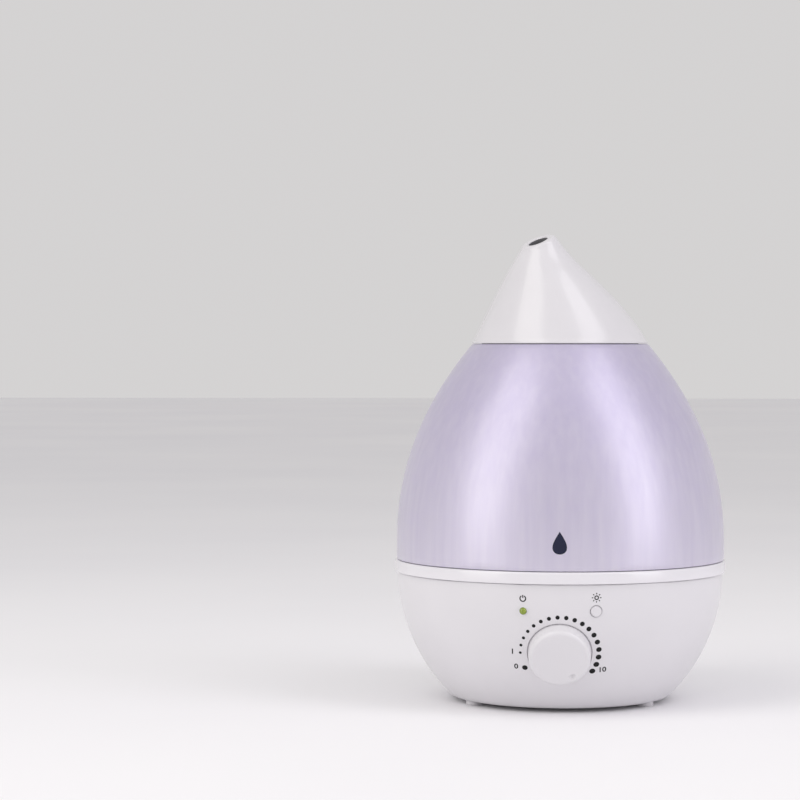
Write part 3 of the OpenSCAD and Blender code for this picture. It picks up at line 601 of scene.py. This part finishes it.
def base_bowl():
    """Outer shell: a bowl with a knob pocket, holes for lamp and button, and a recess for the mains cord."""
    outer_steps, inner_steps = 60, 20
    cover_gap, top_gap = 0.3, 0.4
    ledge_r = 48                          # inner edge of the ledge over the cover
    groove, lip_wall, lip_h = 1.2, 2.4, 3                 # under the rim ring: groove, and the lip inside it
    low = cover_r + cover_gap
    top_z = seam_z - top_gap
    heights = [foot_h + (top_z - foot_h) * i / outer_steps for i in range(outer_steps + 1)]
    brim = heights[-1]
    edge = bowl_radius(brim)
    outer = [(bowl_radius(z), z) for z in heights]
    inner_h = seam_z - lip_h - shelf_top
    inner = [(bowl_radius(z, base_wall), z) for z in
             [shelf_top + inner_h * i / inner_steps for i in range(inner_steps, -1, -1)]]
    outline = [(low, foot_h), (bottom_r - 1.2, foot_h), (bottom_r - 0.5, foot_h + 0.15)]
    outline += [(r, z) for r, z in outer if z > foot_h + 0.9][:-1]
    outline += [(edge, brim - 0.5), (edge - 0.12, brim - 0.12), (edge - 0.5, brim)]
    outline += [(edge - groove, top_z), (edge - groove, seam_z + lip_h), (edge - groove - lip_wall, seam_z + lip_h)]
    outline += inner + [(ledge_r, shelf_top), (ledge_r, cover_top), (low, cover_top)]
    bowl = turned("base_bowl", outline, 256, closed=True)

    boss_r, boss_back, boss_front = 24.1, -5.56, -2.6
    boss = [(0, boss_back), (boss_r, boss_back), (boss_r, boss_front), (0, boss_front)]
    carve(bowl, panel_tool(boss, knob_frame), "UNION")
    floor, mouth = -3.06, 1.5             # pocket's floor, and a level outside the shell
    pocket = [(0, floor), (21.3, floor), (21.6, -2.8), (21.6, -2.45), (21.75, -2.05), (22.1, -1.75),
              (23.4, -1.2), (27, mouth), (0, mouth)]
    carve(bowl, panel_tool(pocket, knob_frame))

    def hole(radius, reach, matrix):
        carve(bowl, panel_tool([(0, -reach), (radius, -reach), (radius, reach), (0, reach)], matrix))

    shaft_hole_r, button_hole_r, lamp_hole_r, gland_hole_r = 3.7, 4.05, 2.6, 5.5
    hole(shaft_hole_r, 9, knob_frame)
    lip = 0.3                             # softened edge of the small holes
    for matrix, radius in ((button_frame, button_hole_r), (lamp_frame, lamp_hole_r)):
        tool = [(0, -8), (radius, -8), (radius, -lip - 0.1), (radius + 0.08, -lip / 2), (radius + lip, 0.06),
                (radius + 2.5 * lip, 1), (0, 1)]
        carve(bowl, panel_tool(tool, matrix))

    recess_r, wall_r, plate = 11, 13, 2.5                 # cord recess: its side, the wall round it, its floor
    backing = panel_tool([(0, -plate), (wall_r, -plate), (wall_r, 30), (0, 30)], cord_frame)
    core_low, core_high = 10, 60          # heights between which the wall is kept inside the shell
    core = [(0, core_low)] + [(bowl_radius(z) - 1, z) for z in range(core_low, core_high + 1, 5)] + [(0, core_high)]
    carve(backing, turned("tool", core, 256), "INTERSECT")
    carve(bowl, backing, "UNION")
    carve(bowl, panel_tool([(0, 0), (recess_r - 0.6, 0), (recess_r, 0.6), (recess_r, 40), (0, 40)], cord_frame))
    hole(gland_hole_r, 10, cord_frame)
    return settle(bowl, "base", "white_abs", ["base_shell"], angle=28)


base_outside = base_bowl()


def knob():
    """Turning knob with a rounded face edge, a soft crown and a finger dimple."""
    skirt, back, face = 20.9, -2.76, 8.2
    edge_at, edge_r, edge_z = 17.6, 2.9, face - 3.4       # centre and radius of the face's rounded edge
    crown_r, crown_h, steps = 18.2, 0.5, 8
    inside_r, inside_z = 16.6, face - 2.9
    outline = [(18, back), (skirt - 0.3, back), (skirt, back + 0.3), (skirt - 0.1, 0.5)]
    outline += [(edge_at + edge_r * math.cos(a), edge_z + edge_r * math.sin(a))
                for a in map(math.radians, range(0, 85, 12))]
    crown = [(crown_r * (1 - k / steps), face - crown_h + crown_h * (1 - (1 - k / steps) ** 2))
             for k in range(steps + 1)]
    outline += [(r, z) for r, z in crown if r < 17.4]
    inside = [(0, inside_z), (inside_r, inside_z), (17.6, face - 3.6), (18, back)]
    body = turned("knob_body", outline + inside, 160)

    ball_r, ball_up, ball_at, turn = 2.9, 0.3, 15.6, math.radians(-56)    # ball that presses the dimple
    ball = [(ball_r * math.sin(a), ball_up - ball_r * math.cos(a)) for a in map(math.radians, range(10, 171, 10))]
    dimple = turned("tool", [(0, ball_up - ball_r), *ball, (0, ball_up + ball_r)], 48)
    put(dimple, Matrix.Translation(Vector((ball_at * math.cos(turn), ball_at * math.sin(turn), face + 0.9)) * MM))
    carve(body, dimple)
    put(body, knob_frame)
    return settle(body, "knob", "white_abs", ["knob"])


knob()


def light_button():
    """Push button: a small cap with a rounded edge and a shallow dish."""
    cap_r, top, dish, steps = 3.75, 0.9, 0.22, 6
    flange_r, flange_low, flange_high = 5.1, -3.0, -2.1
    outline = rounded([(0, flange_low, 0), (flange_r, flange_low, 0.2), (flange_r, flange_high, 0.2),
                       (cap_r, flange_high, 0), (cap_r, top, 0.55)], 5)
    outline += [(cap_r * k / steps, top - dish * (1 - (k / steps) ** 2)) for k in range(steps - 1, -1, -1)]
    cap = put(turned("button_cap", outline, SMALL), button_frame)
    return settle(cap, "button", "white_abs", ["light_button"])


light_button()


def power_lamp():
    """Domed lens of the power lamp in a thin bright bezel."""
    lens_r, dome_z, dome_h = 2.45, 0.35, 2.1
    flange_r, flange_low, flange_high = 2.9, -7.2, -6.2
    dome = [(lens_r * math.cos(a), dome_z + dome_h * math.sin(a)) for a in map(math.radians, range(0, 91, 10))]
    stem = [(0, flange_low), (flange_r, flange_low), (flange_r, flange_high), (lens_r, flange_high)]
    lens = put(turned("lamp_lens", stem + dome, 48), lamp_frame)
    settle(lens, "base", "lamp_lens", ["power_light"])
    ring = rounded([(2.5, -0.6, 0), (3.1, -0.6, 0), (3.15, 0.25, 0.15), (2.5, 0.3, 0.15)], 3)
    bezel = put(turned("lamp_bezel", ring, 48, closed=True), lamp_frame)
    settle(bezel, "base", "rim_abs")


power_lamp()


def feet():
    """Four rubber pads with a rounded lower edge and a shallow tread."""
    foot_r, tread = 6, 0.5
    high = span("rubber_feet")[1]
    x, y = high.x - foot_r, high.y - foot_r
    outline = rounded([(0, tread, 0), (3.2, tread, 0), (3.6, 0, 0.2), (foot_r, 0, 0.9), (foot_r, foot_h, 0),
                       (0, foot_h, 0)])
    first = turned("foot", outline, 48)
    pads = []
    for sx, sy in ((-1, -1), (1, -1), (-1, 1), (1, 1)):
        pads.append(put(copy_of(first, "foot"), Matrix.Translation(Vector((sx * x, sy * y, 0)) * MM)))
    bpy.data.objects.remove(first)
    settle(joined("foot_pads", pads), "base", "foot_rubber", ["rubber_feet"])


feet()


# ---------- Basin ----------

def basin():
    """Rim ring and water basin in one moulding, with its air tower, guard, posts and window seat."""
    plate, skirt = 2.5, 2.4               # thickness of floor and ledge, and of the rim ring's skirt
    ledge_r = rim_r - 16                  # inner edge of the rim, where the side goes down
    side_r = ledge_r + plate
    floor_z = rim_top - 35.5
    under = floor_z - plate
    step_z = tank_z - 10.2                # foot of the side, where the slope to the floor begins
    outline = rounded([
        (rim_r - skirt, seam_z, 0), (rim_r, seam_z, 0.35), (rim_r, rim_top, 1.7), (ledge_r, rim_top, 0.9),
        (ledge_r, step_z, 0.8), (93, floor_z + 4, 1.5), (90, floor_z, 1.2), (0, floor_z, 0),
        (0, under, 0), (91, under, 0.8), (95.5, floor_z + 3, 1), (side_r, step_z - 1, 0.8),
        (side_r, rim_top - plate, 0.5), (rim_r - skirt, rim_top - plate, 0.5)], 5)
    bowl = turned("rim_and_basin", outline, SIDES, closed=True)

    def post(x, y, r, low, high, soft=0.4, sides=SMALL):
        outline = rounded([(0, low, 0), (r, low, 0), (r, high, soft), (0, high, 0)])
        return put(turned("tool", outline, sides), Matrix.Translation(Vector((x, y, 0)) * MM))

    tower_y = centre_of("duct_hood")[1]
    pusher_x = centre_of("fill_cap")[0]
    float_at, window_at = centre_of("float"), centre_of("light_window")
    pusher_top = span("fill_cap")[0].z + 1                # the pusher opens the tank's valve
    clip_low, clip_high = span("float_clip")
    disc_r, seat_r, guard_r = 9, 16.5, 16
    tower_r, tower_h = 8.5, 29.5
    window_r, window_seat_r = 8, 10.5
    corners = [(sx * boss_at, sy * boss_at) for sx in (-1, 1) for sy in (-1, 1)]
    added = [
        post(0, 0, seat_r, under - 4.5, under + 1), post(0, 0, guard_r, floor_z - 1, floor_z + 9, 0.6),
        post(0, tower_y, tower_r, floor_z - 1, floor_z + tower_h, 0.5),
        post(pusher_x, 0, 3.5, floor_z - 1, pusher_top, 0.8),
        post(*float_at, 3, floor_z - 1, clip_high.z + 0.6, 0.6),
        post(*window_at, window_seat_r, under - 6.4, under + 1),
    ]
    added += [post(x, y, 4, shelf_top, under + 1, 0) for x, y in corners]
    for tool in added:
        carve(bowl, tool, "UNION")
    removed = [
        post(0, 0, 13, under - 5.5, under, 0), post(0, 0, disc_r, under - 1, floor_z + 1, 0),
        post(0, 0, guard_r - 2.2, floor_z, floor_z + 12, 0),
        post(0, tower_y, tower_r - 1.5, under - 1, floor_z + 34, 0),
        post(*float_at, 1.8, under - 1, clip_low.z - 1, 0, 32),
        post(*window_at, window_r, under - 8, floor_z + 2, 0),
    ]
    for tool in removed:
        carve(bowl, tool)
    for k in range(3):                    # notches that let water through the guard
        pick()
        bpy.ops.mesh.primitive_cube_add(size=MM, location=(15 * MM, 0, (floor_z + 2.1) * MM))
        notch = bpy.context.object
        notch.scale = (5, 4, 3.8)
        bake_place(notch)
        carve(bowl, put(notch, Matrix.Rotation(math.radians(60 + 120 * k), 4, "Z")))
    for x, y in corners:                  # screw holes
        carve(bowl, post(x, y, 1.45, shelf_top - 1, shelf_top + 15, 0, 24))
    return settle(bowl, "base", "rim_abs", ["water_basin"], angle=30)


basin()


# ---------- Tank ----------

def tank():
    """Outer shell of the tank: a drop-shaped wall with a softened foot and a recessed top for the mist guide."""
    recess_floor = guide_z + 8
    outer_steps, inner_steps, round_top = 56, 28, 0.9
    outer_h = tank_top - round_top - widest_z
    inner_h = recess_floor - tank_wall - widest_z
    outer = [(tank_radius(z), z) for z in
             [widest_z + outer_h * i / outer_steps for i in range(outer_steps + 1)]]
    inner = []
    for i in range(inner_steps, -1, -1):
        z = widest_z + inner_h * i / inner_steps
        slope = tank_radius(z + 0.5) - tank_radius(z - 0.5)
        inner.append((tank_radius(z) - tank_wall * math.sqrt(1 + slope * slope), z))
    edge = tank_radius(tank_top)
    recess = edge - 4.4
    outline = [(tank_r - tank_wall, tank_z), (tank_r - 0.8, tank_z), (tank_r - 0.2, tank_z + 0.25),
               (tank_r, tank_z + 0.9), (tank_r, tank_z + 5)] + outer
    outline += [(edge + 0.05, tank_top - 0.35), (edge - 0.35, tank_top - 0.08), (edge - 0.9, tank_top)]
    outline += [(recess + 0.5, tank_top), (recess + 0.1, tank_top - 0.15), (recess, tank_top - 0.6)]
    outline += [(recess, recess_floor), (chimney_r, recess_floor), (chimney_r, recess_floor - tank_wall)] + inner
    shell = turned("tank_wall", outline, SIDES, closed=True)
    return settle(shell, "tank", "tank_pc", ["tank_shell"])


tank_outside = tank()


def chimney():
    """Mist chimney through the tank, with small flares where it meets the dome and the top."""
    low, high = span("mist_chimney")
    bore_r, flare_r, flare_h = 16, 19.2, 2
    outline = rounded([
        (bore_r, low.z, 0), (flare_r, low.z, 0.8), (chimney_r, low.z + flare_h, 1.2),
        (chimney_r, high.z - flare_h, 1.2), (flare_r, high.z, 0.8), (bore_r, high.z, 0)])
    return settle(turned("chimney_tube", outline, 96, closed=True), "tank", "tank_pc", ["mist_chimney"])


chimney()


def guide():
    """Mist guide: a round plate in the tank's top with a ring that the lid turns on and a spigot in the chimney."""
    plate_low, plate_top = guide_z + 8.3, guide_z + 10
    plate_r, ring_in, ring_out, ring_h = 56.3, 50.3, 52.3, 7
    spigot_in, spigot_out, spout_h = 13.8, 15.6, 12
    outline = rounded([
        (spigot_in, guide_z, 0), (spigot_out, guide_z, 0.5), (spigot_out, plate_low, 0),
        (plate_r, plate_low, 0.3), (plate_r, plate_top, 0.5), (ring_out, plate_top, 0.3),
        (ring_out, plate_top + ring_h, 0.6), (ring_in, plate_top + ring_h, 0.6), (ring_in, plate_top, 0.6),
        (spigot_out + 2, plate_top, 0.8), (spigot_out, plate_top + spout_h, 0.6),
        (spigot_in, plate_top + spout_h, 0.6)])
    return settle(turned("guide_insert", outline, SIDES, closed=True), "guide", "guide_pp", ["mist_guide"])


guide()


def lid():
    """Oblique cone lid: leaning rings that tilt into a round lip, with the bore, the inner wall and a collar."""
    tilt = math.radians(nozzle_tilt)
    lip_r, tube = 12.9, 3.0               # outside of the lip, and the radius of its rounding
    bore_r, bore_wall_r, bore_depth = 6.8, 8.8, 8
    collar_in, collar_out = 52.6, 54.6    # collar that turns on the mist guide's ring
    collar_low, soft = guide_z + 10.3, 0.3
    cone_steps, bend_steps = 24, 8

    def lean(u):
        """Sideways shift of the cone's ring at a share u of the cone's height."""
        return nozzle_out * (u * tip_h / nozzle_up) ** lean_power

    def radius(u):
        return top_r - (top_r - tip_r) * (0.75 * u + 0.25 * u * u)

    def mouth(along, r):
        """Ring on the nozzle's own axis, along mm past the mouth."""
        return (nozzle_out + along * math.sin(tilt), nozzle_z + along * math.cos(tilt), r, nozzle_tilt)

    def bend(a, slope, b, v):
        """Curve from a to b that leaves a along the slope."""
        middle = a + slope.normalized() * (b - a).length * 0.45
        return a * (1 - v) ** 2 + middle * 2 * v * (1 - v) + b * v * v

    def cone(wall):
        """Rings of the lid's curve, set in by wall, whose sides then bend up to the two sides of the lip."""
        rings = [(lean(u), lid_z + tip_h * u, radius(u) - wall, 0)
                 for u in [k / cone_steps for k in range(1, cone_steps)]]
        sides = [[Vector((x + side * r, z)) for x, z, r, _ in rings[-2:]] for side in (1, -1)]
        x, z, r, _ = mouth(-1.6, lip_r - 0.35 - wall)
        across = Vector((r * math.cos(tilt), -r * math.sin(tilt)))
        for k in range(1, bend_steps + 1):
            near, far = [bend(b, b - a, Vector((x, z)) + across * side, k / bend_steps)
                         for (a, b), side in zip(sides, (1, -1))]
            middle, half = (near + far) / 2, (near - far) / 2
            rings.append((middle.x, middle.y, half.length, math.degrees(math.atan2(-half.y, half.x))))
        return rings

    outer = [(0, lid_z, top_r - 0.5, 0), (0, lid_z + 0.15, top_r - 0.12, 0), (0, lid_z + 0.6, top_r, 0)] + cone(0)
    lip = [mouth(-tube + tube * math.sin(a), lip_r - tube + tube * math.cos(a))
           for a in [math.radians(12 * k) for k in range(3, 8)]]
    bore = [mouth(0, 8.6), mouth(-0.25, 7.6), mouth(-0.9, 7.0), mouth(-2, bore_r), mouth(-bore_depth, bore_r),
            mouth(-bore_depth, bore_wall_r)]
    inner = [ring for ring in cone(lid_wall)[::-1] if lid_z + 13.2 < ring[1] < lid_z + tip_h - 2]
    collar = [(0, lid_z + 11, collar_in, 0), (0, collar_low + soft, collar_in, 0),
              (0, collar_low, collar_in + soft, 0), (0, collar_low, collar_out - soft, 0),
              (0, collar_low + soft, collar_out, 0), (0, lid_z + 6.2, collar_out, 0),
              (0.1, lid_z + 5.6, 56.2, 0), (0, lid_z, top_r - lid_wall, 0)]
    rings = outer + lip + bore + inner + collar
    cap = loft("lid_cone", rings + rings[:1], SIDES)
    put(cap, Matrix.Rotation(math.radians(nozzle_turn), 4, "Z"))
    settle(cap, "lid", "lid_abs", ["mist_lid"])

    # Second material: the bore's faces are coloured grey, painted shade deep in the nozzle's mouth.
    cap.data.materials.append(materials["lid_bore_painted_shade"])
    centre = Vector((nozzle_out, nozzle_z)) * MM
    along = Vector((math.sin(tilt), math.cos(tilt)))
    bore_top, reach = -0.7 * MM, 9 * MM   # faces deeper than this and this near to the nozzle's axis are the bore's
    unturned = Matrix.Rotation(math.radians(-nozzle_turn), 4, "Z")
    for face in cap.data.polygons:
        spot = unturned @ face.center
        depth = (Vector((spot.x, spot.z)) - centre).dot(along)
        off = (Vector((spot.x, spot.z)) - centre - along * depth).length
        if depth < bore_top and math.hypot(off, spot.y) < reach:
            face.material_index = 1
    return cap


lid()


# ---------- Printing on the panel and the tank ----------

INK = 0.07                                # thickness of the printed ink
STAND_OFF = 12                            # how far in front of a surface a print starts before it is pressed on


def ink_disc(diameter, x, y):
    """A flat disc drawn in mm, ready to be pressed onto a surface."""
    pick()
    bpy.ops.mesh.primitive_circle_add(vertices=32, radius=diameter / 2, fill_type="NGON", location=(x, y, 0))
    bpy.ops.object.mode_set(mode="EDIT")
    bpy.ops.mesh.inset(thickness=diameter / 4)
    bpy.ops.object.mode_set(mode="OBJECT")
    return bake_place(bpy.context.object)


def ink_ring(radius, width, x, y, gap=0):
    """A flat ring, open at its top by gap degrees to each side."""
    pick()
    bpy.ops.mesh.primitive_circle_add(vertices=48, radius=radius + width / 2, fill_type="NGON")
    bpy.ops.object.mode_set(mode="EDIT")
    bpy.ops.mesh.inset(thickness=width)
    bpy.ops.mesh.delete(type="FACE")
    bpy.ops.mesh.select_all(action="DESELECT")
    bpy.ops.object.mode_set(mode="OBJECT")
    ring = bpy.context.object
    for face in ring.data.polygons:
        face.select = abs(math.degrees(math.atan2(face.center.x, face.center.y))) < gap
    if gap:
        bpy.ops.object.mode_set(mode="EDIT")
        bpy.ops.mesh.delete(type="FACE")
        bpy.ops.object.mode_set(mode="OBJECT")
    return put(ring, Matrix.Translation((x, y, 0)))


def ink_bar(width, length, x, y, turn=0, out=0):
    """A flat bar with cut corners, centred out mm from (x, y) in the direction turn degrees from upright."""
    pick()
    bpy.ops.mesh.primitive_plane_add(size=1)
    bar = bpy.context.object
    bar.scale = (width, length, 1)
    bake_place(bar)
    bpy.ops.object.mode_set(mode="EDIT")
    bpy.ops.mesh.bevel(offset=width * 0.3, segments=3, affect="VERTICES")
    bpy.ops.object.mode_set(mode="OBJECT")
    spin = Matrix.Rotation(math.radians(-turn), 4, "Z")
    return put(bar, Matrix.Translation((x, y, 0)) @ spin @ Matrix.Translation((0, out, 0)))


def ink_numeral(text, size, x, y):
    """Printed numerals, centred, drawn in mm."""
    pick()
    bpy.ops.object.text_add()
    numeral = bpy.context.object
    numeral.data.body, numeral.data.size, numeral.data.offset = text, size, 0.13
    numeral.data.align_x, numeral.data.align_y = "CENTER", "CENTER"
    bpy.ops.object.convert(target="MESH")
    return put(bpy.context.object, Matrix.Translation((x, y, 0)))


def print_on(surface, frame_of_print, piece, body, slot, ink):
    """Presses a flat piece, drawn in mm in a frame, straight back onto a surface and gives it the ink's
    thickness."""
    stand_off = Matrix.Translation((0, 0, STAND_OFF * MM)) @ Matrix.Scale(MM, 4)
    piece.matrix_world = frame_of_print @ stand_off
    pick(piece)
    press = piece.modifiers.new("press", "SHRINKWRAP")
    press.target, press.wrap_method = surface, "PROJECT"
    press.use_project_z = press.use_negative_direction = True
    press.use_project_x = press.use_project_y = press.use_positive_direction = False
    bpy.ops.object.modifier_apply(modifier=press.name)
    body_of_ink = piece.modifiers.new("thickness", "SOLIDIFY")
    body_of_ink.thickness, body_of_ink.offset = INK, 1
    bpy.ops.object.modifier_apply(modifier=body_of_ink.name)
    bake_place(piece)
    return settle(piece, body, slot, material=materials[ink])


def panel_print(bowl):
    """Scale of growing dots round the knob with numerals, and the signs over the lamp and the button."""
    ring, first, step, count = 26.0, 181.8, 12.68, 18     # radius in mm, angles in degrees
    smallest, growth = 1.9, 2.1
    off_turn, off_dot = math.radians(207.9), 3.7
    marks = []
    for k in range(count):
        a = math.radians(first - step * k)
        marks.append(ink_disc(smallest + growth * k / (count - 1), ring * math.cos(a), ring * math.sin(a)))
    marks.append(ink_disc(off_dot, ring * math.cos(off_turn), ring * math.sin(off_turn)))
    for text, x, y in (("0", -28.8, -12.1), ("1", -31.2, -0.8), ("10", 28.2, -14.2)):
        marks.append(ink_numeral(text, 5.4, x, y))
    print_on(bowl, knob_frame, joined("scale_marks", marks), "base", "black_plastic", "panel_ink")

    up, line = 8.4, 0.75                  # height of the sign over the lamp, and its line
    power = [ink_ring(1.9, line, 0, up, 30), ink_bar(line, 2.0, 0, up + 1.4)]
    print_on(bowl, lamp_frame, joined("power_sign", power), "base", "black_plastic", "panel_ink")

    up, rays = 9.2, 8                     # height of the sign over the button, and its rays
    lamp = [ink_ring(1.2, 0.7, 0, up)] + [ink_bar(0.65, 1.0, 0, up, 360 / rays * k, 2.75) for k in range(rays)]
    print_on(bowl, button_frame, joined("light_sign", lamp), "base", "black_plastic", "panel_ink")


panel_print(base_outside)


def drop_mark(wall):
    """Plain water drop printed low on the front of the tank."""
    half_width, half_height, sharpness = 6.6, 7.5, 1.4
    mark_z = tank_z + 19
    pick()
    bpy.ops.mesh.primitive_circle_add(vertices=72, radius=1, fill_type="NGON")
    drop = bpy.context.object
    drop.name = drop.data.name = "drop_mark"
    for vertex in drop.data.vertices:
        turn = math.atan2(vertex.co.x, vertex.co.y)
        vertex.co.x = half_width * math.sin(turn) * abs(math.sin(turn / 2)) ** sharpness
        vertex.co.y = half_height * math.cos(turn)
    bpy.ops.object.mode_set(mode="EDIT")
    bpy.ops.mesh.select_all(action="SELECT")
    for ratio in (0.75, 0.66, 0.5):       # inner rings, so that the drop can follow the tank's curve
        bpy.ops.mesh.extrude_region_move(TRANSFORM_OT_translate={"value": (0, 0, 0)})
        bpy.ops.transform.resize(value=(ratio, ratio, 1), center_override=(0, -3, 0))
    bpy.ops.object.mode_set(mode="OBJECT")
    place = facing((0, -tank_radius(mark_z), mark_z), (0, -1, 0))
    print_on(wall, place, drop, "tank", "black_plastic", "mark_ink")


drop_mark(tank_outside)


# ---------- Valve spring and grommet ----------

def valve_spring():
    """Coil spring wound round the valve's stem, between the fill cap and the valve."""
    low, high = span("valve_spring")
    wire, coil, turns, steps_in_turn = 0.5, 4.0, 4, 24
    middle = Vector(((low.x + high.x) / 2, (low.y + high.y) / 2, low.z + wire))
    pick()
    bpy.ops.mesh.primitive_circle_add(
        vertices=10, radius=wire * MM, location=(coil * MM, 0, 0), rotation=(math.radians(90), 0, 0))
    spring = bake_place(bpy.context.object)
    spring.name = spring.data.name = "valve_coil"
    wind = spring.modifiers.new("wind", "SCREW")
    wind.angle, wind.screw_offset = math.radians(360 * turns), (high.z - low.z - 2 * wire) * MM
    wind.steps = wind.render_steps = steps_in_turn * turns
    wind.use_merge_vertices = False
    pick(spring)
    bpy.ops.object.modifier_apply(modifier=wind.name)
    bpy.ops.object.mode_set(mode="EDIT")
    bpy.ops.mesh.select_all(action="DESELECT")
    bpy.ops.mesh.select_non_manifold()
    bpy.ops.mesh.edge_face_add()
    bpy.ops.object.mode_set(mode="OBJECT")
    put(spring, Matrix.Translation(middle * MM))
    close_up(spring)
    pick(spring)
    bpy.ops.object.shade_smooth_by_angle(angle=math.radians(40))
    spring.data.materials.append(materials["spring_steel"])
    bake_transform(spring)
    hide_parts("valve_spring")


valve_spring()


def grommet():
    """Grommet of the mains cord: a rounded flange on the recess's floor and a lip behind it."""
    bore_r, neck_r, flange_r, lip_r = 3.6, 5.4, 7.5, 7
    lip_low, lip_high = -4.5, -2.5
    outline = rounded([
        (bore_r, lip_low, 0.3), (lip_r, lip_low, 0.4), (lip_r, lip_high, 0.2), (neck_r, lip_high, 0.2),
        (neck_r, 0, 0), (flange_r, 0, 0.2), (flange_r, 1.3, 0.3), (flange_r - 1, gland_flange, 0.5),
        (bore_r, gland_flange, 0.5)])
    ring = put(turned("cord_grommet", outline, 96, closed=True), cord_frame)
    return settle(ring, "base", "black_plastic", ["cord_gland"])


grommet()
